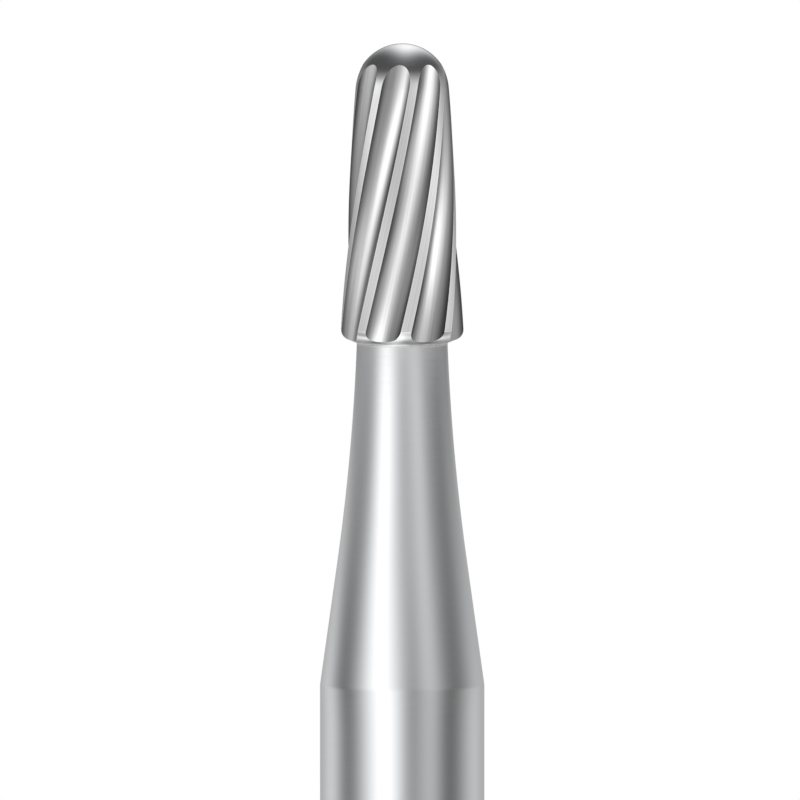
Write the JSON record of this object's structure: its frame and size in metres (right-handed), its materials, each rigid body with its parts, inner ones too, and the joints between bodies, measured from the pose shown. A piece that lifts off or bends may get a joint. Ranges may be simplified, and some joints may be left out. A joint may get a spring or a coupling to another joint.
{
  "type": "dental bur",
  "caption": "Round-ended taper dental bur: a spiral-fluted carbide head brazed to a flared steel neck, on a cylindrical shank that a handpiece chuck grips.",
  "frame": {"origin": "centre of the shank's flat end face, on the axis", "axes": "+Z along the axis of rotation from the shank end to the dome of the head"},
  "size_m": [0.0016, 0.0016, 0.019],
  "materials": {
    "shank_steel": "finely ground round the axis, bright",
    "silver_braze": "smooth, bright silver-grey",
    "tungsten_carbide": "finely ground, bright in the flutes and satin on the lands"
  },
  "bodies": {
    "root": {"steel_shank": "shank_steel", "braze_joint": "silver_braze", "carbide_head": "tungsten_carbide"}
  },
  "joints": []
}
